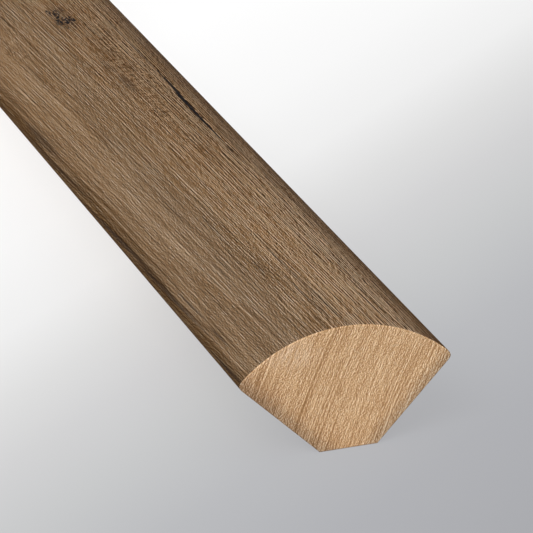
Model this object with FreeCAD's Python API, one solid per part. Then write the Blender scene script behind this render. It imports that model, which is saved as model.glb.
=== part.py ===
import FreeCAD, Part
import math
import os

# Quarter round moulding: one solid length of flooring trim, in millimetres.
# It lies on the chamfer of its back corner with the rounded face upwards.
# X runs along the stock, and the origin is in the middle of the chamfer's face.

# Driving dimensions
stock_length = 1981.2  # one 78 in stick
leg_width = 19.05  # each back face, from the sharp back corner out to its tip (3/4 in)
face_offset = 0.2  # how far the rounded face's centre stands in from both back faces
tip_round = 0.8  # radius that eases the tip of each leg
corner_setback = 5.1  # how much of each leg the back chamfer takes off

# Sizes worked out from them
face_radius = leg_width - face_offset
chamfer_height = corner_setback / math.sqrt(2)


def section_point(along_left, along_right):
    """A point of the section, given by its distances from the sharp back corner along the two legs."""
    across = (along_right - along_left) / math.sqrt(2)
    up = (along_right + along_left) / math.sqrt(2) - chamfer_height
    return FreeCAD.Vector(-stock_length / 2, across, up)


def tip_points():
    """The three points of a tip's rounding, as (along its leg, out from its leg).

    The rounding touches the back face and the rounded face, so it runs into both without an edge.
    """
    centre_out = tip_round
    centre_reach = math.sqrt((face_radius - tip_round) ** 2 - (tip_round - face_offset) ** 2)
    centre_along = face_offset + centre_reach
    on_back_face = (centre_along, 0)
    lean = math.atan2(centre_out - face_offset, centre_reach)
    on_rounded_face = (
        face_offset + face_radius * math.cos(lean),
        face_offset + face_radius * math.sin(lean),
    )
    middle = (lean - math.pi / 2) / 2
    nose = (
        centre_along + tip_round * math.cos(middle),
        centre_out + tip_round * math.sin(middle),
    )
    return on_back_face, nose, on_rounded_face


def section_face():
    """The closed outline of the moulding, as a face at one end of the stock."""
    back, nose, front = tip_points()
    crown = face_offset + face_radius / math.sqrt(2)

    left_chamfer = section_point(corner_setback, 0)
    left_back = section_point(*back)
    left_nose = section_point(*nose)
    left_front = section_point(*front)
    top = section_point(crown, crown)
    right_front = section_point(*reversed(front))
    right_nose = section_point(*reversed(nose))
    right_back = section_point(*reversed(back))
    right_chamfer = section_point(0, corner_setback)

    edges = [
        Part.LineSegment(left_chamfer, left_back),
        Part.Arc(left_back, left_nose, left_front),
        Part.Arc(left_front, top, right_front),
        Part.Arc(right_front, right_nose, right_back),
        Part.LineSegment(right_back, right_chamfer),
        Part.LineSegment(right_chamfer, left_chamfer),
    ]
    return Part.Face(Part.Wire([edge.toShape() for edge in edges]))


def quarter_round():
    """The whole stick, run from the section."""
    return section_face().extrude(FreeCAD.Vector(stock_length, 0, 0))


def save(name, solid):
    """Write one piece to its own STEP file, and say what it measures."""
    if not solid.isValid() or len(solid.Solids) != 1:
        raise ValueError(name + " is not one valid solid")
    solid.exportStep(os.path.join("parts", name + ".step"))
    box = solid.BoundBox
    print(name, "x", round(box.XLength, 2), "y", round(box.YLength, 2), "z", round(box.ZLength, 2))
    print(name, "lowest", round(box.ZMin, 4), "volume mm3", round(solid.Volume, 1))


os.makedirs("parts", exist_ok=True)
save("quarter_round", quarter_round())
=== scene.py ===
import math
import random

import bmesh
import bpy
import numpy as np
from mathutils import Matrix, Vector


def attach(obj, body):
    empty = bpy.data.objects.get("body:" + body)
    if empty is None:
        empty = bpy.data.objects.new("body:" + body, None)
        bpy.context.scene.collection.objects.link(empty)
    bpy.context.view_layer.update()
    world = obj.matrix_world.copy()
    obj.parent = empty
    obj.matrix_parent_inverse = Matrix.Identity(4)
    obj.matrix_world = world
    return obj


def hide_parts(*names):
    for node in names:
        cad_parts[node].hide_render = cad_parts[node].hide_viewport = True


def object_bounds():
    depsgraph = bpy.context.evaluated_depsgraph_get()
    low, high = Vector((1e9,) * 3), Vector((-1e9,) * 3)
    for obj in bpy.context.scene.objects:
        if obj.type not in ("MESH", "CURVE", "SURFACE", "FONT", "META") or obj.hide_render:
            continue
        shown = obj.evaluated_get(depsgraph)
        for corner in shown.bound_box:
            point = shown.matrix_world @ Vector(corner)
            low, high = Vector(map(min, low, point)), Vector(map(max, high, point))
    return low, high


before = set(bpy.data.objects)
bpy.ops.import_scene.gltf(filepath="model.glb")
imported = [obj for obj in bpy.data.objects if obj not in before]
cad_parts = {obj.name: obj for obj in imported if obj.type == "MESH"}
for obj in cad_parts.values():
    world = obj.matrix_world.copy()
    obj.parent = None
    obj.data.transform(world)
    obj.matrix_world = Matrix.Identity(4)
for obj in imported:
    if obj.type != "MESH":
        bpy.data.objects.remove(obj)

# The CAD box: the stick lies along X on its back chamfer, and the photo shows the end at +X.
cadLow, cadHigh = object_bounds()
stockLength = cadHigh.x - cadLow.x
mm = 0.001


def hexColour(text):
    # sRGB hex to the linear values that shaders use
    parts = [int(text[i:i + 2], 16) / 255 for i in (1, 3, 5)]
    linear = [c / 12.92 if c <= 0.04045 else ((c + 0.055) / 1.055) ** 2.4 for c in parts]
    return (*linear, 1.0)


def addNode(tree, kind, inputs=(), stops=(), **settings):
    # One node with its settings, values and links. Another node as a value gives its first output.
    node = tree.nodes.new(kind)
    for name, value in settings.items():
        setattr(node, name, value)
    live = [socket for socket in node.inputs if socket.enabled]
    for key, value in (inputs.items() if isinstance(inputs, dict) else enumerate(inputs)):
        socket = live[key] if isinstance(key, int) else next(s for s in live if s.name == key)
        if isinstance(value, bpy.types.Node):
            value = next(output for output in value.outputs if output.enabled)
        if isinstance(value, bpy.types.NodeSocket):
            tree.links.new(value, socket)
        elif isinstance(value, str) and value.startswith("#"):
            socket.default_value = hexColour(value)
        else:
            socket.default_value = value
    # the stops of a colour ramp, from its low end
    for number, (position, colour) in enumerate(stops):
        points = node.color_ramp.elements
        point = points[number] if number < len(points) else points.new(position)
        point.position = position
        point.color = hexColour(colour)
    return node


# The section, in metres, as the CAD has it
section = {
    "legWidth": 19.05 * mm,  # each back face, from the sharp back corner to its tip
    "faceOffset": 0.2 * mm,  # the rounded face's centre stands this far in from both backs
    "tipRound": 0.8 * mm,
    "cornerSetback": 5.1 * mm,  # what the back chamfer takes off each leg
    "columnWidth": 0.6 * mm,  # of the mesh, across the rounded face
    "fineColumn": 0.13 * mm,  # the same where the shake runs
    "tipSteps": 5,
    "flatSteps": 7,
    "chamferSteps": 4,
}
faceRadius = section["legWidth"] - section["faceOffset"]

# A shake is a crack along the grain. Its places are along from the shown end, and across the rounded face
# from its left tip.
shake = {
    "from": 64.5 * mm,
    "to": 108 * mm,
    "place": 22.31 * mm,
    "drift": 0.46 * mm,  # how far it has moved over by its far end
    "driftFrom": 90 * mm,
    "driftTo": 99 * mm,
    "width": 1.0 * mm,
    "thinWidth": 0.4 * mm,  # at its near end
    "thinTo": 92 * mm,
    "depth": 0.35 * mm,
    # the rest is for the finish, in mm or as a share
    "ragged": (1.6, 0.5, 52, 1.0),  # length, width, seed and detail of the bites in its sides
    "bite": 0.36,
    "rim": 0.12,
    "black": 0.95,
}


def addShake(tree, fromEnd, across):
    # 1 along the middle of the shake, falling to 0 at its sides and ends; shared by the mesh and the finish
    middle = addNode(tree, "ShaderNodeMapRange", (
        fromEnd, shake["driftFrom"], shake["driftTo"], shake["place"], shake["place"] + shake["drift"],
    ), interpolation_type="SMOOTHSTEP")
    side = addNode(tree, "ShaderNodeMath", (across, middle), operation="SUBTRACT")
    half = addNode(tree, "ShaderNodeMapRange", (
        fromEnd, shake["from"], shake["thinTo"], shake["thinWidth"] / 2, shake["width"] / 2))
    side = addNode(tree, "ShaderNodeMath", (side, half), operation="DIVIDE")
    centre = (shake["from"] + shake["to"]) / 2
    end = addNode(tree, "ShaderNodeMath", (fromEnd, centre), operation="SUBTRACT")
    end = addNode(tree, "ShaderNodeMath", (end, shake["to"] - centre), operation="DIVIDE")
    sideSquare = addNode(tree, "ShaderNodeMath", (side, side), operation="MULTIPLY")
    endSquare = addNode(tree, "ShaderNodeMath", (end, end), operation="MULTIPLY")
    rest = addNode(tree, "ShaderNodeMath", (1.0, endSquare), operation="SUBTRACT")
    return addNode(tree, "ShaderNodeMath", (rest, sideSquare), operation="SUBTRACT", use_clamp=True)


def sectionRing():
    # Points round the section from the middle of the chamfer, as (y, z), how far each is across the rounded
    # face, and the whole way round
    offset, tip, setback = section["faceOffset"], section["tipRound"], section["cornerSetback"]
    reach = math.sqrt((faceRadius - tip) ** 2 - (tip - offset) ** 2)
    lean = math.atan2(tip - offset, reach)
    along = offset + reach  # where each flat ends, along its leg

    def line(start, end, steps):
        return [np.array(start) + (np.array(end) - start) * i / steps for i in range(steps)]

    def arc(centre, radius, angles):
        return [np.array(centre) + radius * np.array([math.cos(a), math.sin(a)]) for a in angles]

    def steps(low, high, width):
        return np.linspace(low, high, max(2, round((high - low) / width)), endpoint=False)

    # The mesh is fine where the shake runs, so that its sides are sharp
    fineLow = shake["place"] - shake["width"]
    fineHigh = shake["place"] + shake["drift"] + shake["width"]
    faceEnd = (math.pi / 2 - lean) * faceRadius
    faceStations = np.concatenate([
        steps(lean * faceRadius, fineLow, section["columnWidth"]),
        steps(fineLow, fineHigh, section["fineColumn"]),
        steps(fineHigh, faceEnd, section["columnWidth"]),
    ])
    tipAngles = np.linspace(-math.pi / 2, lean, section["tipSteps"], endpoint=False)
    left = line((setback / 2, setback / 2), (setback, 0), section["chamferSteps"] // 2)
    left += line((setback, 0), (along, 0), section["flatSteps"])
    left += arc((along, tip), tip, tipAngles)
    face = arc((offset, offset), faceRadius, faceStations / faceRadius)
    # the right half is the left half mirrored and run backwards
    right = [np.array([b, a]) for a, b in arc((along, tip), tip, [*tipAngles, lean])[:0:-1]]
    right += [np.array([b, a]) for a, b in line((along, 0), (setback, 0), section["flatSteps"])]
    right += line((0, setback), (setback / 2, setback / 2), section["chamferSteps"] // 2)
    legs = np.array(left + face + right)
    points = np.stack([legs[:, 1] - legs[:, 0], legs.sum(1) - setback], 1) / math.sqrt(2)
    gaps = np.linalg.norm(np.diff(points, axis=0, append=points[:1]), axis=1)
    across = np.concatenate([[0], np.cumsum(gaps[:-1])])
    across += lean * faceRadius - across[len(left)]
    return points, across, gaps.sum()


# What the sweep adds to the section
stick = {
    "rows": 560,
    "nearShare": 0.14,  # rows near the shown end are this much closer than even ones
    "nearPower": 5.0,  # and the rest spread out with this power of the way along
    "railHeight": 8 * mm,
    "planed": 0.03 * mm,  # the brushed face lies this far below its true section
    "relief": 0.06 * mm,  # and dips by up to this much more
    "reliefLength": 70 * mm,
    "reliefWidth": 5 * mm,
    "reliefDetail": 2.0,
    "seed": 7,
    "reliefFrom": 0.3,  # the relief is whole where the face's normal points up by this much
    "stainFrom": -0.4,  # and the stain ends where it points down by this much
    "sawnFrom": 0.5,  # a face is sawn where its normal points along the stick by this much
    "endEasing": 0.12 * mm,  # the saw's arris, rubbed once with abrasive paper
    "sharpAngle": math.radians(28),
}
# What the sweep's modifier is given
stickInputs = {
    "Length": stockLength,
    "Relief": stick["relief"],
    "Shake Depth": shake["depth"],
    "Rows": stick["rows"],
    "Seed": stick["seed"],
}


def sweepTree(materials):
    # Sweeps the section along the stick, sinks the relief and the shake, and gives each surface its finish
    tree = bpy.data.node_groups.new("sweepStick", "GeometryNodeTree")
    tree.interface.new_socket("Geometry", in_out="INPUT", socket_type="NodeSocketGeometry")
    for name, value in stickInputs.items():
        kind = "NodeSocketInt" if isinstance(value, int) else "NodeSocketFloat"
        tree.interface.new_socket(name, in_out="INPUT", socket_type=kind).default_value = value
    tree.interface.new_socket("Geometry", in_out="OUTPUT", socket_type="NodeSocketGeometry")
    given = tree.nodes.new("NodeGroupInput").outputs

    # The rail: closer rows near the shown end, where the shake is
    line = addNode(tree, "GeometryNodeCurvePrimitiveLine")
    line = addNode(tree, "GeometryNodeResampleCurve", {"Curve": line, "Count": given["Rows"]})
    part = addNode(tree, "GeometryNodeSplineParameter")
    spreading = addNode(tree, "ShaderNodeMath", (part, stick["nearPower"]), operation="POWER")
    mixed = addNode(tree, "ShaderNodeMix", (stick["nearShare"], spreading, part))
    fromEnd = addNode(tree, "ShaderNodeMath", (mixed, given["Length"]), operation="MULTIPLY")
    line = addNode(tree, "GeometryNodeStoreNamedAttribute", {
        "Geometry": line, "Name": "fromEnd", "Value": fromEnd}, data_type="FLOAT", domain="POINT")
    stored = addNode(tree, "GeometryNodeInputNamedAttribute", ("fromEnd",), data_type="FLOAT")
    x = addNode(tree, "ShaderNodeMath", (cadHigh.x, stored), operation="SUBTRACT")
    place = addNode(tree, "ShaderNodeCombineXYZ", (x, 0.0, stick["railHeight"]))
    rail = addNode(tree, "GeometryNodeSetPosition", {"Geometry": line, "Position": place})
    ring = addNode(tree, "GeometryNodeMeshToCurve", (given["Geometry"],))
    body = addNode(tree, "GeometryNodeCurveToMesh", {
        "Curve": rail, "Profile Curve": ring, "Fill Caps": True})

    # The relief only goes inwards, so the stick stays inside its true size
    across = addNode(tree, "GeometryNodeInputNamedAttribute", ("across",), data_type="FLOAT")
    spread = addNode(tree, "ShaderNodeCombineXYZ", (stored, across, 0.0))
    spread = addNode(tree, "ShaderNodeVectorMath", (
        spread, (1 / stick["reliefLength"], 1 / stick["reliefWidth"], 0)), operation="MULTIPLY")
    waves = addNode(tree, "ShaderNodeTexNoise", {
        "Vector": spread, "W": given["Seed"], "Scale": 1.0, "Detail": stick["reliefDetail"],
    }, noise_dimensions="4D")
    dip = addNode(tree, "ShaderNodeMath", (
        waves, given["Relief"], stick["planed"]), operation="MULTIPLY_ADD")
    crack = addShake(tree, stored, across)
    dip = addNode(tree, "ShaderNodeMath", (crack, given["Shake Depth"], dip), operation="MULTIPLY_ADD")
    normal = addNode(tree, "GeometryNodeInputNormal")
    outward = addNode(tree, "ShaderNodeVectorMath", (normal, (0, 1, 1)), operation="MULTIPLY")
    outward = addNode(tree, "ShaderNodeVectorMath", (outward,), operation="NORMALIZE")
    facing = addNode(tree, "ShaderNodeSeparateXYZ", (normal,)).outputs
    # the flats stay true, because they are planed and sit on wall and floor
    rounded = addNode(tree, "ShaderNodeMapRange", (facing["Z"], 0.0, stick["reliefFrom"]))
    dip = addNode(tree, "ShaderNodeMath", (dip, rounded), operation="MULTIPLY")
    inward = addNode(tree, "ShaderNodeMath", (dip, -1.0), operation="MULTIPLY")
    offset = addNode(tree, "ShaderNodeVectorMath", (outward, inward), operation="SCALE")
    body = addNode(tree, "GeometryNodeSetPosition", {"Geometry": body, "Offset": offset})

    # Arrises stay sharp, and everything else is smooth
    body = addNode(tree, "GeometryNodeSetShadeSmooth", {
        "Geometry": body, "Shade Smooth": True}, domain="FACE")
    angle = addNode(tree, "GeometryNodeInputMeshEdgeAngle")
    sharp = addNode(tree, "FunctionNodeCompare", (angle, stick["sharpAngle"]), operation="GREATER_THAN")
    body = addNode(tree, "GeometryNodeSetShadeSmooth", {
        "Geometry": body, "Selection": sharp, "Shade Smooth": False}, domain="EDGE")

    body = addNode(tree, "GeometryNodeRealizeInstances", (body,))
    stained = addNode(tree, "FunctionNodeCompare", (
        facing["Z"], stick["stainFrom"]), operation="GREATER_THAN")
    endways = addNode(tree, "ShaderNodeMath", (facing["X"],), operation="ABSOLUTE")
    sawn = addNode(tree, "FunctionNodeCompare", (endways, stick["sawnFrom"]), operation="GREATER_THAN")
    for material, where in zip(materials, (True, stained, sawn)):
        body = addNode(tree, "GeometryNodeSetMaterial", (body, where, material))
    addNode(tree, "NodeGroupOutput", (body,))
    return tree


# Where each stretch of the surface lies on the baked map
bakeMap = {
    "size": 1024,  # pixels
    "nearLength": 206 * mm,  # the stretch that the photo shows gets a finer strip of its own
    "farStrips": 4,
    "overlap": 8 * mm,  # a strip holds faces that run past its end
    "gap": 4,  # pixels between strips
    "margin": 1,  # pixels left of the sawn ends
    "endScale": 7.6,  # pixels per mm on the sawn ends
}


def writeMaps(mesh, lowAcross, girth):
    # "grain" is the unrolled surface in metres: from the shown end, and across the rounded face.
    # "OFBake" packs the same surface as strips into one square.
    loops = len(mesh.loops)
    corner = np.empty(loops, np.int32)
    mesh.loops.foreach_get("vertex_index", corner)
    place = np.empty(len(mesh.vertices) * 3, np.float32)
    mesh.vertices.foreach_get("co", place)
    place = place.reshape(-1, 3)[corner].astype(float)
    fromEnd = cadHigh.x - place[:, 0]
    across = np.empty(len(mesh.vertices), np.float32)
    mesh.attributes["across"].data.foreach_get("value", across)
    across = across[corner].astype(float)
    starts = np.array([p.loop_start for p in mesh.polygons])
    counts = np.array([p.loop_total for p in mesh.polygons])
    face = np.repeat(np.arange(len(starts)), counts)
    normal = np.array([p.normal[:] for p in mesh.polygons])
    isEnd = (np.abs(normal[:, 0]) > stick["sawnFrom"])[face]
    # the face that closes the ring reads on past its highest value
    highest = np.maximum.reduceat(across, starts)[face]
    across = np.where(highest - across > girth / 2, across + girth, across)
    grain = np.where(isEnd[:, None], place[:, 1:], np.stack([fromEnd, across], 1))

    size, gap = bakeMap["size"], bakeMap["gap"]
    nearScale = size / (bakeMap["nearLength"] + bakeMap["overlap"])
    farLength = (stockLength - bakeMap["nearLength"]) / bakeMap["farStrips"]
    farScale = size / (farLength + 2 * bakeMap["overlap"])
    middle = (np.add.reduceat(fromEnd, starts) / counts)[face]
    strip = np.floor((middle - bakeMap["nearLength"]) / farLength) + 1
    strip = np.clip(strip, 0, bakeMap["farStrips"])
    near = strip == 0
    scale = np.where(near, nearScale, farScale)
    begin = np.where(near, 0.0, bakeMap["nearLength"] + (strip - 1) * farLength - bakeMap["overlap"])
    stripHeight = girth * farScale + gap
    base = np.where(near, 0.0, girth * nearScale + gap + (strip - 1) * stripHeight)
    u = (fromEnd - begin) * scale
    v = base + (across - lowAcross) * scale
    top = girth * nearScale + bakeMap["farStrips"] * stripHeight + gap
    endScale = bakeMap["endScale"] / mm
    wide = (cadHigh.y - cadLow.y) * endScale + gap
    endLeft = np.where(place[:, 0] > 0, 0.0, wide) + bakeMap["margin"]
    endU = (place[:, 1] - cadLow.y) * endScale + endLeft
    endV = top + place[:, 2] * endScale
    baked = np.stack([np.where(isEnd, endU, u), np.where(isEnd, endV, v)], 1) / size
    print("bake map: near %.2f px/mm, far %.2f px/mm, filled to %.3f of its height" % (
        nearScale * mm, farScale * mm, baked[:, 1].max()))
    for name, values in (("grain", grain), ("OFBake", baked)):
        layer = mesh.uv_layers.new(name=name)
        layer.uv.foreach_set("vector", values.astype(np.float32).ravel())
    mesh.uv_layers["grain"].active_render = True


def makeStick(materials):
    points, across, girth = sectionRing()
    ring = bpy.data.meshes.new("sectionRing")
    # Curve to Mesh turns the profile's Y downwards on a rail that runs towards -X
    flat = [(y, stick["railHeight"] - z, 0) for y, z in points]
    count = len(flat)
    ring.from_pydata(flat, [(i, (i + 1) % count) for i in range(count)], [])
    ring.attributes.new("across", "FLOAT", "POINT").data.foreach_set("value", across.astype(np.float32))
    maker = bpy.data.objects.new("stickMaker", ring)
    bpy.context.scene.collection.objects.link(maker)
    sweep = maker.modifiers.new("sweep", "NODES")
    sweep.node_group = sweepTree(materials)
    sockets = {
        i.name: i.identifier for i in sweep.node_group.interface.items_tree if i.in_out == "INPUT"}
    for name, value in stickInputs.items():
        sweep[sockets[name]] = value
    bpy.context.view_layer.update()
    depsgraph = bpy.context.evaluated_depsgraph_get()
    mesh = bpy.data.meshes.new_from_object(maker.evaluated_get(depsgraph), depsgraph=depsgraph)
    maker.modifiers.remove(sweep)
    bpy.data.objects.remove(maker)

    # Ease the arrises of the two sawn ends, whose faces are the only ones with more than four corners
    work = bmesh.new()
    work.from_mesh(mesh)
    caps = [f for f in work.faces if len(f.verts) > 4]
    rims = list({e for f in caps for e in f.edges})
    bmesh.ops.bevel(work, geom=rims, offset=stick["endEasing"], segments=1, affect="EDGES", material=-1)
    bmesh.ops.recalc_face_normals(work, faces=work.faces)
    work.to_mesh(mesh)
    work.free()
    writeMaps(mesh, across[0], girth)
    piece = bpy.data.objects.new("quarter_round_stick", mesh)
    bpy.context.scene.collection.objects.link(piece)
    return piece


def newMaterial(name):
    material = bpy.data.materials.new(name)
    material.use_nodes = True
    material.node_tree.nodes.clear()
    return material, material.node_tree


def unrolledPlace(tree):
    # The unrolled surface in mm: along from the shown end, and across from the left tip. On the sawn ends
    # it is y and z.
    spread = addNode(tree, "ShaderNodeUVMap", uv_map="grain")
    return addNode(tree, "ShaderNodeMapping", {"Vector": spread, "Scale": (1 / mm, 1 / mm, 1)})


seedStep = (13.7, 7.3, 3.1)  # in a noise, from one seed to the next
noiseMiddle = 0.5


def addStreaks(tree, place, length, width, seed, detail=0.0, shift=0.0):
    # Soft streaks along the grain, of this length and width in mm, moved over by a number of widths
    start = [seed * step for step in seedStep]
    shrunk = addNode(tree, "ShaderNodeMapping", {
        "Vector": place, "Location": (start[0], start[1] + shift, start[2]),
        "Scale": (1 / length, 1 / width, 1 / width)})
    return addNode(tree, "ShaderNodeTexNoise", {
        "Vector": shrunk, "Scale": 1.0, "Detail": detail, "Roughness": 0.55}).outputs[0]


def addLayers(tree, place, layers, middle=0.0):
    # Adds up layers about a middle value. A layer is (length, width, share, seed, detail). Where its detail
    # is None each streak gets a light and a dark side, as light from one side gives to brushed grooves.
    whole = sum(share for _, _, share, _, detail in layers if detail is not None)
    total = middle - noiseMiddle * whole
    for length, width, share, seed, detail in layers:
        if detail is None:
            light = addStreaks(tree, place, length, width, seed)
            dark = addStreaks(tree, place, length, width, seed, shift=1.0)
            layer = addNode(tree, "ShaderNodeMath", (light, dark), operation="SUBTRACT")
        else:
            layer = addStreaks(tree, place, length, width, seed, detail)
        total = addNode(tree, "ShaderNodeMath", (layer, share, total), operation="MULTIPLY_ADD")
    return total


def addSpots(tree, place, entries, hardness, lean=0.0):
    # The strongest of several ellipses, each as strong as it says in its middle, and hard ones with a crisp
    # rim. On a place that leans, the ellipses lean with it.
    strongest = 0.0
    for along, across, halfLength, halfWidth, strength in entries:
        local = addNode(tree, "ShaderNodeMapping", {
            "Vector": place, "Location": (-along / halfLength, -(across + lean * along) / halfWidth, 0),
            "Scale": (1 / halfLength, 1 / halfWidth, 0)})
        far = addNode(tree, "ShaderNodeVectorMath", (local,), operation="LENGTH")
        spot = addNode(tree, "ShaderNodeMapRange", (
            far, hardness, 2.0 - hardness, strength, 0.0), interpolation_type="SMOOTHSTEP")
        strongest = addNode(tree, "ShaderNodeMath", (spot, strongest), operation="MAXIMUM")
    return strongest


woodIndex = 1.5  # how strongly wood and its clear coat bend light

# The stained face. Places and sizes are in mm, along from the shown end and across from the left tip.
# A layer is (length, width, share, seed, detail), a noise is (length, width, seed, detail), and "Between"
# says where on a noise a thing begins and where it is whole. A place is (along, across, half length, half
# width, strength).
stain = {
    "grainSlope": 0.030,  # the grain runs out of the stick by this much a mm
    "wander": [(90, 9, 1.2, 21, 1.0), (12, 3.0, 0.08, 22, 1.0)],  # and is moved over by these, in mm
    "wanderMiddle": 0.04,
    # ticks of single fibres
    "short": [
        (0.28, 0.12, 0.58, 6, None),
        (0.5, 0.10, 0.70, 1, None),
    ],
    # brushed vessels, about as thin as real ones
    "fine": [
        (1.5, 0.12, 0.58, 2, None),
        (8.0, 0.11, 0.72, 3, None),
        (15.0, 0.12, 0.22, 5, None),
        (40.0, 0.15, 0.22, 4, None),
        (14.0, 0.3, 0.32, 11, 0.0),
    ],
    # the same where the face turns down to the right: painted light and shade of the brushed grooves, where
    # light grazes them.
    # Real vessels are too fine to show on this side, and are drawn nearly twice as wide.
    "grazedGrooves": [
        (0.5, 0.20, 0.20, 7, None),
        (1.5, 0.19, 0.80, 8, None),
        (8.0, 0.17, 1.25, 9, None),
        (25.0, 0.18, 0.95, 10, None),
    ],
    "grazedFrom": (12.0, 25.0),  # across, from none to the most
    "grazedMost": 1.6,
    "coarse": [
        (50.0, 0.7, 0.18, 12, 0.0),
        (50.0, 2.0, 0.12, 13, 0.0),
        (120.0, 6.0, 0.05, 15, 1.0),
    ],
    "hard": (0.60, 0.80),  # some stretches are brushed harder and show more contrast
    "hardNoise": (26, 4.0, 31, 1.0),
    "hardBetween": (0.35, 0.65),
    "grazedHard": [(5.0, 11.0, 0.3), (9.0, 17.0, 0.40)],  # the right half shows more contrast too: painted light and shade where light grazes the grooves, and stronger grey streaks. From, to, how much more
    "hardPlaces": [(5.0, 19.5, 55.0, 7.0, 0.3)],
    "pores": 0.12,  # how dark the open pores are
    "poreNoise": (3.5, 0.14, 33),
    "poreBetween": (0.64, 0.74),
    "middle": 0.45,  # how light the wood is on the whole
    "lightPlaces": [(8.0, 18.5, 50.0, 4.0, 0.09), (30.0, 4.5, 120.0, 4.0, 0.03)],
    "ripple": 1.0,  # waves square to the grain, in patches
    "rippleNoise": (0.24, 0.95, 35),
    "ripplePlaces": [
        (108.0, 19.4, 15.0, 2.8, 1.2), (101.0, 17.2, 8.0, 1.9, 1.0), (86.8, 17.2, 7.0, 1.5, 1.1),
        (71.0, 17.2, 5.0, 1.2, 0.7), (103.0, 6.5, 6.0, 1.2, 0.4), (120.5, 6.5, 7.0, 1.4, 0.5),
    ],
    "rippleFrom": (130.0, 160.0),  # past this they are fainter and come by chance
    "rippleRest": 0.35,
    "ripplePatches": (16, 3.5, 36, 1.0),
    "rippleBetween": (0.50, 0.62),
    "tone": [(0.0, "#31220F"), (0.25, "#5A4027"), (0.42, "#775A3A"), (0.58, "#8A6D4F"),
             (0.75, "#A08669"), (1.0, "#C6B096")],
    "toneGrey": [(0.0, "#29261F"), (0.25, "#50463A"), (0.42, "#6C5E4E"), (0.58, "#817262"),
                 (0.75, "#9A8A78"), (1.0, "#C4B5A2")],
    "grey": [(12.0, 0.2, 0.8, 42, 0.0), (48.0, 3.2, 0.25, 41, 2.0)],
    "greyMiddle": 0.08,
    "greyPlaces": [(12.0, 13.8, 24.0, 2.4, 0.10), (10.0, 5.5, 70.0, 5.5, 0.20)],
    "shadeAndStainLeft": "#AEA28E",  # multiplies the wood along the left edge, and the next along the right: partly painted shade where the rounded face rolls away, partly darker stain
    "shadeAndStainRight": "#AC9674",
    "leftEdge": (0.2, 3.2),
    "rightEdge": (22.5, 28.6),
    "edgeWander": [(30, 1.2, 3.2, 45, 2.0), (14, 0.25, 4.0, 46, 0.0)],  # moves both edges over, in mm
    "warmRight": "#FFF1DE",  # multiplies the wood to the right, which is warmer
    "warmFrom": (10.0, 18.0),
    "warmLess": (0.5, 0.85, 1.0, 0.5),  # but light wood only by half: tone from and to, share at each
    "brownPlaces": [(98.0, 23.6, 40.0, 1.1, 1.0), (110.0, 20.5, 50.0, 3.5, 0.35)],
    "brown": "#E2D8C6",  # multiplies the wood at those
    "black": "#15171C",  # of the knots, the smudges and the shake
    "knotSpeckle": (0.6, 0.24, 51),
    "speckleBetween": (0.42, 0.48),
    "roughness": (0.2, 0.8, 0.75, 0.6),  # tone from and to, and the roughness at each
    "specular": 0.02,
    "bump": 0.02 * mm,
    "bumpStrength": 0.8,
}
# Knots and smudges: along, across, half length, half width, and how black. All but the last three smudges
# are in the photo.
knots = [
    (126.0, 14.6, 2.0, 0.46, 1.0), (128.8, 14.8, 1.6, 0.40, 1.0), (130.2, 14.2, 1.5, 0.36, 0.9),
    (126.0, 15.45, 1.9, 0.42, 1.0), (130.0, 15.3, 1.4, 0.42, 0.95), (125.7, 15.95, 1.8, 0.34, 0.95),
    (126.4, 16.5, 1.7, 0.46, 1.0), (131.2, 16.3, 1.3, 0.34, 0.7), (123.4, 14.9, 1.3, 0.32, 0.7),
    (124.9, 14.1, 1.3, 0.28, 0.7), (126.8, 15.4, 6.0, 1.6, 0.3),
]
otherKnots = [(412.0, 9.0), (905.0, 20.0), (1344.0, 12.5), (1763.0, 18.0)]
dotsPerKnot = 4
# A dot of those: off its knot along and across, half length, half width and how black, each by chance
# between two values
dotRanges = [(-3.5, 3.5), (-1.1, 1.1), (1.6, 2.4), (0.5, 0.7), (0.8, 1.0)]
knotSeed = 12
smudges = [
    (96.3, 16.0, 4.2, 0.8, 0.42), (104.5, 15.4, 3.5, 0.8, 0.26), (91.0, 16.4, 3.5, 0.6, 0.15),
    (126.5, 15.4, 8.0, 2.2, 0.10), (80.0, 9.2, 120.0, 2.0, 0.08), (91.0, 1.4, 8.0, 0.6, 0.35),
    (110.0, 12.5, 50.0, 6.0, 0.05), (111.5, 22.4, 6.0, 0.35, 0.4), (67.5, 22.3, 5.0, 0.25, 0.3),
    (100.0, 17.5, 38.0, 3.6, 0.09),
    (640.0, 11.0, 12.0, 1.4, 0.3), (1120.0, 19.0, 9.0, 1.1, 0.3), (1540.0, 8.0, 14.0, 1.5, 0.3),
]
# Long streaks along the grain that stand out, dark ones and light ones
darkStreaks = [
    (7.0, 15.2, 9.0, 0.15, 0.43), (20.0, 14.55, 9.0, 0.15, 0.43), (11.0, 13.7, 8.0, 0.14, 0.40),
    (2.0, 18.75, 5.0, 0.17, 0.28), (20.0, 22.0, 6.5, 0.19, 0.36), (31.5, 19.8, 6.5, 0.12, 0.32),
    (28.0, 7.5, 4.5, 0.14, 0.34), (29.0, 0.9, 13.0, 0.24, 0.52), (50.0, 0.65, 13.0, 0.22, 0.52),
    (84.0, 0.5, 17.0, 0.26, 0.32), (67.0, 24.2, 12.0, 0.20, 0.34), (81.5, 17.1, 5.0, 0.19, 0.28),
    (127.0, 22.2, 9.0, 0.19, 0.34), (120.0, 27.6, 18.0, 0.38, 0.38), (24.0, 2.05, 5.5, 0.16, 0.50),
    (13.0, 2.15, 3.0, 0.16, 0.50), (5.0, 0.4, 5.5, 0.20, 0.50), (23.5, 11.6, 2.6, 0.15, 0.50),
]
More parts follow.
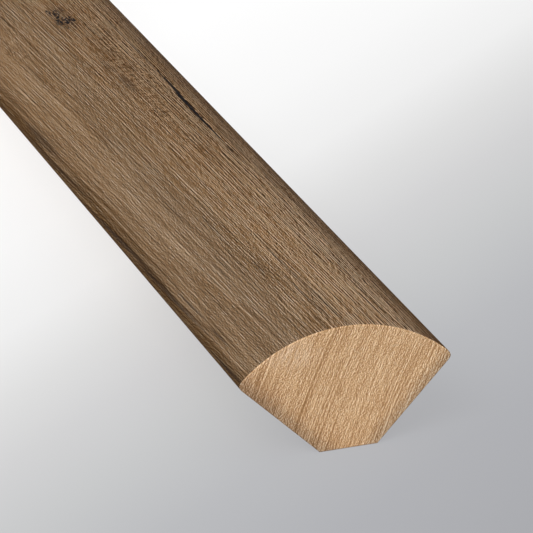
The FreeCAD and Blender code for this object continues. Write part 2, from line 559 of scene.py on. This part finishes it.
lightStreaks = [
    (8.0, 13.35, 9.0, 0.13, 0.15), (31.0, 18.7, 14.0, 0.15, 0.15), (14.0, 10.5, 8.0, 0.12, 0.15),
    (20.0, 2.3, 10.0, 0.14, 0.14), (58.0, 1.85, 12.0, 0.13, 0.13), (66.0, 3.2, 8.0, 0.14, 0.13),
    (88.0, 21.6, 6.5, 0.15, 0.15), (51.0, 23.6, 6.5, 0.24, 0.14), (127.0, 13.8, 9.0, 0.14, 0.14),
]


def allKnots():
    # The knot in the photo, and a few like it on the rest of the stick
    chance = random.Random(knotSeed)
    dots = list(knots)
    for along, across in otherKnots:
        for _ in range(dotsPerKnot):
            offAlong, offAcross, *rest = [chance.uniform(*limits) for limits in dotRanges]
            dots.append((along + offAlong, across + offAcross, *rest))
    return dots


def fibrePlace(tree, flat, along, across):
    # Where a point is on the grain, which wanders and runs out of the stick at a slant
    wander = addLayers(tree, flat, stain["wander"], stain["wanderMiddle"])
    lean = addNode(tree, "ShaderNodeMath", (along, stain["grainSlope"], wander), operation="MULTIPLY_ADD")
    moved = addNode(tree, "ShaderNodeMath", (across, lean), operation="ADD")
    return addNode(tree, "ShaderNodeCombineXYZ", (along, moved))


def leanedPlace(tree, along, across):
    # The unrolled place, leaning as the grain does
    moved = addNode(tree, "ShaderNodeMath", (along, stain["grainSlope"], across), operation="MULTIPLY_ADD")
    return addNode(tree, "ShaderNodeCombineXYZ", (along, moved))


def brushedHard(tree, flat, place, across):
    # How much contrast the brush has given the streaks, with more to the right as painted light and shade
    # where light grazes the grooves
    hard = addNode(tree, "ShaderNodeMapRange", (
        addStreaks(tree, place, *stain["hardNoise"]), *stain["hardBetween"], *stain["hard"],
    ), interpolation_type="SMOOTHSTEP")
    hard = addNode(tree, "ShaderNodeMath", (
        hard, addSpots(tree, flat, stain["hardPlaces"], hardness=0.1)), operation="ADD")
    # more to the right: painted light and shade where light grazes the grooves
    for low, high, most in stain["grazedHard"]:
        more = addNode(tree, "ShaderNodeMapRange", (
            across, low, high, 0.0, most), interpolation_type="SMOOTHSTEP")
        hard = addNode(tree, "ShaderNodeMath", (hard, more), operation="ADD")
    return hard


def stainTone(tree, flat, leaned, place, along, across, hard):
    # How light the stained wood is, from its streaks, pores and ripples
    fine = addLayers(tree, place, stain["fine"])
    tone = addLayers(tree, place, stain["coarse"], stain["middle"])
    tone = addNode(tree, "ShaderNodeMath", (
        tone, addSpots(tree, flat, stain["lightPlaces"], hardness=0.1)), operation="ADD")
    tone = addNode(tree, "ShaderNodeMath", (fine, hard, tone), operation="MULTIPLY_ADD")
    tone = addNode(tree, "ShaderNodeMath", (addLayers(tree, place, stain["short"]), tone), operation="ADD")
    # painted light and shade of the grooves, more to the right, where light grazes them
    grazed = addNode(tree, "ShaderNodeMapRange", (
        across, *stain["grazedFrom"], 0.0, stain["grazedMost"]), interpolation_type="SMOOTHSTEP")
    tone = addNode(tree, "ShaderNodeMath", (
        addLayers(tree, place, stain["grazedGrooves"]), grazed, tone), operation="MULTIPLY_ADD")
    streaks = addSpots(tree, leaned, lightStreaks, hardness=0.3, lean=stain["grainSlope"])
    tone = addNode(tree, "ShaderNodeMath", (tone, streaks), operation="ADD")
    # open pores: short dark ticks
    pores = addNode(tree, "ShaderNodeMapRange", (
        addStreaks(tree, place, *stain["poreNoise"]), *stain["poreBetween"], 0.0, stain["pores"],
    ), interpolation_type="SMOOTHSTEP")
    tone = addNode(tree, "ShaderNodeMath", (tone, pores), operation="SUBTRACT")
    # ripples square to the grain
    cross = addNode(tree, "ShaderNodeMath", (
        addStreaks(tree, flat, *stain["rippleNoise"]), noiseMiddle), operation="SUBTRACT")
    patch = addNode(tree, "ShaderNodeMapRange", (
        addStreaks(tree, flat, *stain["ripplePatches"]), *stain["rippleBetween"],
    ), interpolation_type="SMOOTHSTEP")
    reached = addNode(tree, "ShaderNodeMapRange", (
        along, *stain["rippleFrom"], 0.0, stain["rippleRest"]))
    patch = addNode(tree, "ShaderNodeMath", (patch, reached), operation="MULTIPLY")
    patch = addNode(tree, "ShaderNodeMath", (
        patch, addSpots(tree, flat, stain["ripplePlaces"], hardness=0.3)), operation="MAXIMUM")
    patch = addNode(tree, "ShaderNodeMath", (patch, stain["ripple"]), operation="MULTIPLY")
    return addNode(tree, "ShaderNodeMath", (cross, patch, tone), operation="MULTIPLY_ADD")


def stainColour(tree, flat, place, across, tone, hard):
    # Warm brown with grey-brown streaks, and darker along both edges: partly painted shade where the
    # rounded face rolls away, partly darker stain
    warm = addNode(tree, "ShaderNodeValToRGB", (tone,), stops=stain["tone"])
    grey = addNode(tree, "ShaderNodeValToRGB", (tone,), stops=stain["toneGrey"])
    greyness = addNode(tree, "ShaderNodeMath", (
        addLayers(tree, place, stain["grey"]), hard, stain["greyMiddle"]), operation="MULTIPLY_ADD")
    greyness = addNode(tree, "ShaderNodeMath", (
        greyness, addSpots(tree, flat, stain["greyPlaces"], hardness=0.2)), operation="ADD", use_clamp=True)
    colour = addNode(tree, "ShaderNodeMix", (greyness, warm, grey), data_type="RGBA")
    edge = addNode(tree, "ShaderNodeMath", (
        across, addLayers(tree, place, stain["edgeWander"])), operation="ADD")
    # Darker along both edges: partly painted shade where the rounded face rolls away, partly darker stain
    left = addNode(tree, "ShaderNodeMapRange", (
        edge, *stain["leftEdge"], 1.0, 0.0), interpolation_type="SMOOTHSTEP")
    right = addNode(tree, "ShaderNodeMapRange", (
        edge, *stain["rightEdge"]), interpolation_type="SMOOTHSTEP")
    warmer = addNode(tree, "ShaderNodeMapRange", (
        edge, *stain["warmFrom"]), interpolation_type="SMOOTHSTEP")
    less = addNode(tree, "ShaderNodeMapRange", (tone, *stain["warmLess"]))
    warmer = addNode(tree, "ShaderNodeMath", (warmer, less), operation="MULTIPLY")
    browner = addSpots(tree, flat, stain["brownPlaces"], hardness=0.4)
    for share, tint in (
            (left, stain["shadeAndStainLeft"]), (right, stain["shadeAndStainRight"]),
            (warmer, stain["warmRight"]), (browner, stain["brown"])):
        colour = addNode(tree, "ShaderNodeMix", (
            share, colour, tint), data_type="RGBA", blend_type="MULTIPLY")
    return colour


def blackPlaces(tree, flat, leaned, along, across):
    # Knots, soft smudges, dark streaks and the shake
    speckle = addNode(tree, "ShaderNodeMapRange", (
        addStreaks(tree, flat, *stain["knotSpeckle"]), *stain["speckleBetween"],
    ), interpolation_type="SMOOTHSTEP")
    dark = addNode(tree, "ShaderNodeMath", (
        addSpots(tree, flat, allKnots(), hardness=0.75), speckle), operation="MULTIPLY")
    dark = addNode(tree, "ShaderNodeMath", (
        dark, addSpots(tree, flat, smudges, hardness=0.4)), operation="MAXIMUM")
    streaks = addSpots(tree, leaned, darkStreaks, hardness=0.3, lean=stain["grainSlope"])
    dark = addNode(tree, "ShaderNodeMath", (dark, streaks), operation="MAXIMUM")
    alongMetres = addNode(tree, "ShaderNodeMath", (along, mm), operation="MULTIPLY")
    acrossMetres = addNode(tree, "ShaderNodeMath", (across, mm), operation="MULTIPLY")
    crack = addShake(tree, alongMetres, acrossMetres)
    crack = addNode(tree, "ShaderNodeMath", (
        addStreaks(tree, flat, *shake["ragged"]), -shake["bite"], crack), operation="MULTIPLY_ADD")
    crack = addNode(tree, "ShaderNodeMapRange", (
        crack, 0.0, shake["rim"], 0.0, shake["black"]), interpolation_type="SMOOTHSTEP")
    return addNode(tree, "ShaderNodeMath", (dark, crack), operation="MAXIMUM", use_clamp=True)


def makeStainedOak():
    # Oak, planed to a quarter round, wire-brushed, stained grey-brown and coated matte: fine dark and light
    # streaks along the stick, greyer and warmer patches, and darker at both edges: partly painted shade,
    # partly darker stain
    material, tree = newMaterial("stainedBrushedOak")
    flat = unrolledPlace(tree)
    parts = addNode(tree, "ShaderNodeSeparateXYZ", (flat,)).outputs
    along, across = parts["X"], parts["Y"]
    leaned = leanedPlace(tree, along, across)
    place = fibrePlace(tree, flat, along, across)
    hard = brushedHard(tree, flat, place, across)
    tone = stainTone(tree, flat, leaned, place, along, across, hard)
    colour = stainColour(tree, flat, place, across, tone, hard)
    colour = addNode(tree, "ShaderNodeMix", (
        blackPlaces(tree, flat, leaned, along, across), colour, stain["black"]), data_type="RGBA")
    # the dark soft wood is brushed out, and is less glossy
    roughness = addNode(tree, "ShaderNodeMapRange", (tone, *stain["roughness"]))
    bump = addNode(tree, "ShaderNodeBump", {
        "Strength": stain["bumpStrength"], "Distance": stain["bump"], "Height": tone})
    shader = addNode(tree, "ShaderNodeBsdfPrincipled", {
        "Base Color": colour, "Metallic": 0.0, "Roughness": roughness, "IOR": woodIndex,
        "Specular IOR Level": stain["specular"], "Normal": bump})
    addNode(tree, "ShaderNodeOutputMaterial", (shader,))
    return material


# The raw wood inside, in mm, with layers, noises and places as above
rawWood = {
    "pith": (136.0, -55.0),  # the heart of the tree, from the middle of the chamfer's face
    "ringRadius": 154.0,  # of the growth rings that cross the section
    "ringWobble": [(4, 1.2, 0.16, 61, 1.0)],
    # round the rings: torn pores as short ticks, and growth lines
    "rings": [
        (0.20, 0.10, 1.20, 62, None),
        (0.16, 0.16, 1.00, 78, 0.0),
        (0.20, 0.16, 0.36, 63, None),
        (0.70, 0.14, 0.22, 64, None),
        (16.0, 0.12, 0.38, 66, None),
        (16.0, 0.24, 0.26, 67, None),
        (40.0, 0.16, 0.36, 68, None),
        (2.0, 0.35, 0.28, 65, 0.0),
        (16.0, 0.34, 0.30, 74, 0.0),
        (40.0, 0.60, 0.20, 69, 0.0),
        (5.0, 5.0, 0.06, 70, 1.0),
    ],
    "ringMiddle": 0.425,
    "tone": [(0.0, "#88623C"), (0.25, "#A47C52"), (0.45, "#BD976E"), (0.6, "#CBA67D"), (0.8, "#DDBD96"),
             (1.0, "#F0D8B6")],
    "brown": "#DED6D0",  # multiplies the wood beside the left back face
    "brownDepth": (2.2, 6.0),
    "brownHeight": (11.5, 14.5, 0.5, 1.0),  # and weaker towards the chamfer
    "brownNoise": (3, 0.8, 69, 2.0),
    "brownRagged": 3.0,  # how far that moves it, in mm
    "rim": "#DEE3EC",  # multiplies the wood along both back faces
    "rimDepth": (0.1, 2.2),
    "rimRagged": [(0.5, 0.5, 1.6, 77, 2.0)],
    "mainRing": (154.05, 0.3, 0.3),  # the one strong growth ring: out from the pith, half width, how dark
    "palePlaces": [(-6.4, 12.6, 2.6, 1.3, 0.3)],  # where fibres were torn
    "paleNoise": (1.2, 0.3, 76, 1.0),
    "paleBetween": (0.38, 0.62),
    "pale": "#DCC4AC",
    "sawnRoughness": (0.2, 0.8, 0.85, 0.66),  # tone from and to, and the roughness at each
    "sawnSpecular": 0.3,
    "sawnBump": 0.05 * mm,
    "sawnBumpStrength": 0.15,
    # long grain, of the planed back
    "grain": [
        (7.0, 0.24, 0.8, 71, 2.0),
        (30.0, 0.7, 0.6, 72, 2.0),
        (110.0, 2.4, 0.5, 73, 1.0),
    ],
    "grainMiddle": 0.55,
    "knifeMark": 1.5,  # from one mark of the planer's knives to the next
    "knifeShare": 0.05,
    "bandsPerUnit": 3.1831,  # what a wave texture draws
    "lappedStain": "#5E4A38",
    "lap": (16.2, 17.4),  # from the middle of the rounded face, where the stain over the tips ends
    "lapRagged": [(12, 1.4, 3.2, 75, 3.0)],
    "lapMost": 0.85,
    "planedRoughness": 0.62,
    "planedSpecular": 0.4,
    "planedBump": 0.02 * mm,
    "planedBumpStrength": 0.5,
}


def ringPlace(tree, flat):
    # Section in mm to (round the rings, out from the pith), so that streaks follow the growth rings
    offset = addNode(tree, "ShaderNodeVectorMath", (flat, (*rawWood["pith"], 0)), operation="SUBTRACT")
    parts = addNode(tree, "ShaderNodeSeparateXYZ", (offset,)).outputs
    out = addNode(tree, "ShaderNodeVectorMath", (offset,), operation="LENGTH")
    angle = addNode(tree, "ShaderNodeMath", (parts[1], parts[0]), operation="ARCTAN2")
    around = addNode(tree, "ShaderNodeMath", (angle, rawWood["ringRadius"]), operation="MULTIPLY")
    place = addNode(tree, "ShaderNodeCombineXYZ", (around, out))
    out = addNode(tree, "ShaderNodeMath", (
        out, addLayers(tree, place, rawWood["ringWobble"])), operation="ADD")
    return addNode(tree, "ShaderNodeCombineXYZ", (around, out)), out


def makeSawnOak():
    # Oak sawn across the grain and left raw: growth rings as slanting lines, with short ticks of torn pores
    material, tree = newMaterial("rawOakSawnEnd")
    flat = unrolledPlace(tree)
    place, out = ringPlace(tree, flat)
    tone = addLayers(tree, place, rawWood["rings"], rawWood["ringMiddle"])
    ringOut, ringHalf, ringDark = rawWood["mainRing"]
    ring = addNode(tree, "ShaderNodeMath", (out, ringOut), operation="SUBTRACT")
    ring = addNode(tree, "ShaderNodeMath", (ring,), operation="ABSOLUTE")
    ring = addNode(tree, "ShaderNodeMapRange", (
        ring, 0.0, ringHalf, ringDark, 0.0), interpolation_type="SMOOTHSTEP")
    tone = addNode(tree, "ShaderNodeMath", (tone, ring), operation="SUBTRACT")
    colour = addNode(tree, "ShaderNodeValToRGB", (tone,), stops=rawWood["tone"])
    pale = addNode(tree, "ShaderNodeMapRange", (
        addStreaks(tree, place, *rawWood["paleNoise"]), *rawWood["paleBetween"],
    ), interpolation_type="SMOOTHSTEP")
    pale = addNode(tree, "ShaderNodeMath", (
        addSpots(tree, flat, rawWood["palePlaces"], hardness=0.2), pale), operation="MULTIPLY")
    colour = addNode(tree, "ShaderNodeMix", (pale, colour, rawWood["pale"]), data_type="RGBA")

    # How deep a point is behind the left and behind the right back face
    slant, toBack = math.sqrt(0.5), section["cornerSetback"] / mm / 2
    left = addNode(tree, "ShaderNodeVectorMath", (flat, (slant, slant, 0)), operation="DOT_PRODUCT")
    left = addNode(tree, "ShaderNodeMath", (left, toBack), operation="ADD")
    right = addNode(tree, "ShaderNodeVectorMath", (flat, (-slant, slant, 0)), operation="DOT_PRODUCT")
    right = addNode(tree, "ShaderNodeMath", (right, toBack), operation="ADD")
    ragged = addNode(tree, "ShaderNodeMath", (
        addStreaks(tree, place, *rawWood["brownNoise"]), rawWood["brownRagged"], left,
    ), operation="MULTIPLY_ADD")
    browner = addNode(tree, "ShaderNodeMapRange", (
        ragged, *rawWood["brownDepth"], 1.0, 0.0), interpolation_type="SMOOTHSTEP")
    upper = addNode(tree, "ShaderNodeMapRange", (
        right, *rawWood["brownHeight"]), interpolation_type="SMOOTHSTEP")
    browner = addNode(tree, "ShaderNodeMath", (browner, upper), operation="MULTIPLY")
    colour = addNode(tree, "ShaderNodeMix", (
        browner, colour, rawWood["brown"]), data_type="RGBA", blend_type="MULTIPLY")
    rim = addNode(tree, "ShaderNodeMath", (left, right), operation="MINIMUM")
    rim = addNode(tree, "ShaderNodeMath", (
        rim, addLayers(tree, flat, rawWood["rimRagged"])), operation="ADD")
    rim = addNode(tree, "ShaderNodeMapRange", (
        rim, *rawWood["rimDepth"], 1.0, 0.0), interpolation_type="SMOOTHSTEP")
    colour = addNode(tree, "ShaderNodeMix", (
        rim, colour, rawWood["rim"]), data_type="RGBA", blend_type="MULTIPLY")
    roughness = addNode(tree, "ShaderNodeMapRange", (tone, *rawWood["sawnRoughness"]))
    bump = addNode(tree, "ShaderNodeBump", {
        "Strength": rawWood["sawnBumpStrength"], "Distance": rawWood["sawnBump"], "Height": tone})
    shader = addNode(tree, "ShaderNodeBsdfPrincipled", {
        "Base Color": colour, "Metallic": 0.0, "Roughness": roughness, "IOR": woodIndex,
        "Specular IOR Level": rawWood["sawnSpecular"], "Normal": bump})
    addNode(tree, "ShaderNodeOutputMaterial", (shader,))
    return material


def makePlanedOak():
    # Oak planed by the moulding machine and left raw at the back: pale long grain, with stain lapped over
    # the tips
    material, tree = newMaterial("rawOakPlanedBack")
    solid = addNode(tree, "ShaderNodeTexCoord").outputs["Object"]
    solid = addNode(tree, "ShaderNodeVectorMath", (solid, 1 / mm), operation="SCALE")
    tone = addLayers(tree, solid, rawWood["grain"], rawWood["grainMiddle"])
    flat = unrolledPlace(tree)
    # the planer's knives leave a faint wave
    marks = addNode(tree, "ShaderNodeTexWave", {
        "Vector": flat, "Scale": 1 / rawWood["knifeMark"] / rawWood["bandsPerUnit"], "Distortion": 0.0,
    }, bands_direction="X").outputs["Fac"]
    tone = addNode(tree, "ShaderNodeMath", (marks, rawWood["knifeShare"], tone), operation="MULTIPLY_ADD")
    colour = addNode(tree, "ShaderNodeValToRGB", (tone,), stops=rawWood["tone"])
    across = addNode(tree, "ShaderNodeSeparateXYZ", (flat,)).outputs["Y"]
    half = addNode(tree, "ShaderNodeMath", (across, math.pi / 4 * faceRadius / mm), operation="SUBTRACT")
    half = addNode(tree, "ShaderNodeMath", (half,), operation="ABSOLUTE")
    half = addNode(tree, "ShaderNodeMath", (
        half, addLayers(tree, flat, rawWood["lapRagged"])), operation="ADD")
    lapped = addNode(tree, "ShaderNodeMapRange", (
        half, *rawWood["lap"], rawWood["lapMost"], 0.0), interpolation_type="SMOOTHSTEP")
    colour = addNode(tree, "ShaderNodeMix", (lapped, colour, rawWood["lappedStain"]), data_type="RGBA")
    bump = addNode(tree, "ShaderNodeBump", {
        "Strength": rawWood["planedBumpStrength"], "Distance": rawWood["planedBump"], "Height": tone})
    shader = addNode(tree, "ShaderNodeBsdfPrincipled", {
        "Base Color": colour, "Metallic": 0.0, "Roughness": rawWood["planedRoughness"], "IOR": woodIndex,
        "Specular IOR Level": rawWood["planedSpecular"], "Normal": bump})
    addNode(tree, "ShaderNodeOutputMaterial", (shader,))
    return material


print("making the wood's finishes")
finishes = [makePlanedOak(), makeStainedOak(), makeSawnOak()]
print("making the stick")
stickPiece = makeStick(finishes)
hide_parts("quarter_round")
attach(stickPiece, "root")

# The floor and the light
studio = {
    "floorReach": 8.0,
    "floorDrop": 0.02 * mm,
    "falloffDirection": (0.743, 0.669, 0.0),  # the painted light falloff runs from white to grey this way
    "paintedFalloff": [
        (0.634, "#FFFFFF"), (0.661, "#F8F8F8"), (0.678, "#EFEFEF"), (0.691, "#DEDEDE"), (0.702, "#D2D2D3"),
        (0.714, "#C8C9CA"), (0.730, "#BABBBE"), (0.748, "#B0B1B5"), (0.78, "#A5A6AA"),
    ],
    "ownLight": 0.82,  # how much of the floor's shown colour is its own, so that its shadow stays soft
    "world": 0.45,
    # where each comes from, how strong it is, and how wide in degrees
    "lamps": {
        "key": ((0.55, -0.45, 0.70), 0.60, 40),
        "front": ((0.95, -0.10, 0.30), 0.25, 40),
        "top": ((0.3, 0.25, 0.92), 0.12, 60),
    },
}


def makeFloor():
    # A pale floor with painted light falloff from white to grey, seen by the camera mostly as glow, that
    # takes only a soft shadow
    reach = studio["floorReach"]
    mesh = bpy.data.meshes.new("floor")
    corners = [(-reach, -reach, 0), (reach, -reach, 0), (reach, reach, 0), (-reach, reach, 0)]
    mesh.from_pydata(corners, [], [(0, 1, 2, 3)])
    material, tree = newMaterial("paleFloor")
    place = addNode(tree, "ShaderNodeTexCoord").outputs["Object"]
    along = addNode(tree, "ShaderNodeVectorMath", (place, studio["falloffDirection"]), operation="DOT_PRODUCT")
    low, high = studio["paintedFalloff"][0][0], studio["paintedFalloff"][-1][0]
    part = addNode(tree, "ShaderNodeMapRange", (along, low, high))
    colour = addNode(tree, "ShaderNodeValToRGB", (part,), stops=[
        ((reached - low) / (high - low), tint) for reached, tint in studio["paintedFalloff"]])
    matte = addNode(tree, "ShaderNodeBsdfDiffuse", (colour,))
    # camera rays see the painted falloff mostly as glow
    shown = addNode(tree, "ShaderNodeEmission", (colour,))
    seen = addNode(tree, "ShaderNodeLightPath").outputs["Is Camera Ray"]
    share = addNode(tree, "ShaderNodeMath", (seen, studio["ownLight"]), operation="MULTIPLY")
    mixed = addNode(tree, "ShaderNodeMixShader", (share, matte, shown))
    addNode(tree, "ShaderNodeOutputMaterial", (mixed,))
    mesh.materials.append(material)
    floor = bpy.data.objects.new("floor", mesh)
    floor.location.z = -studio["floorDrop"]
    bpy.context.scene.collection.objects.link(floor)


def makeLight():
    for name, (direction, strength, spread) in studio["lamps"].items():
        lamp = bpy.data.lights.new(name, "SUN")
        lamp.energy = strength * math.pi
        lamp.angle = math.radians(spread)
        holder = bpy.data.objects.new(name, lamp)
        holder.rotation_euler = Vector(direction).to_track_quat("Z", "Y").to_euler()
        bpy.context.scene.collection.objects.link(holder)
    world = bpy.data.worlds.new("studio")
    bpy.context.scene.world = world
    world.use_nodes = True
    background = world.node_tree.nodes["Background"]
    background.inputs["Color"].default_value = (1, 1, 1, 1)
    background.inputs["Strength"].default_value = studio["world"]
    bpy.context.scene.view_settings.view_transform = "Standard"


print("setting the floor and the lamps")
makeFloor()
makeLight()

# The photo was taken with a long lens, from above and to the left of the stick
view = {
    "place": (1.55663, -0.17664, 0.24686),  # in metres
    "yaw": math.radians(16.48),  # off the stick's own direction
    "pitch": math.radians(20.65),  # below level
    "roll": math.radians(-2.52),
    "lens": 365.7,  # in mm, as the sensor
    "sensor": 36.0,
    "clips": (0.05, 50),  # in metres
}


def makeCamera():
    ahead = Vector((-math.cos(view["yaw"]) * math.cos(view["pitch"]),
                    math.sin(view["yaw"]) * math.cos(view["pitch"]),
                    -math.sin(view["pitch"])))
    right = ahead.cross(Vector((0, 0, 1))).normalized()
    up = right.cross(ahead)
    cosRoll, sinRoll = math.cos(view["roll"]), math.sin(view["roll"])
    rolledRight = cosRoll * right + sinRoll * up
    rolledUp = cosRoll * up - sinRoll * right
    data = bpy.data.cameras.new("camera")
    data.sensor_width = view["sensor"]
    data.lens = view["lens"]
    data.clip_start, data.clip_end = view["clips"]
    camera = bpy.data.objects.new("camera", data)
    turn = Matrix((rolledRight, rolledUp, -ahead)).transposed()
    camera.matrix_world = Matrix.Translation(view["place"]) @ turn.to_4x4()
    bpy.context.scene.collection.objects.link(camera)
    bpy.context.scene.camera = camera


print("setting the camera")
makeCamera()
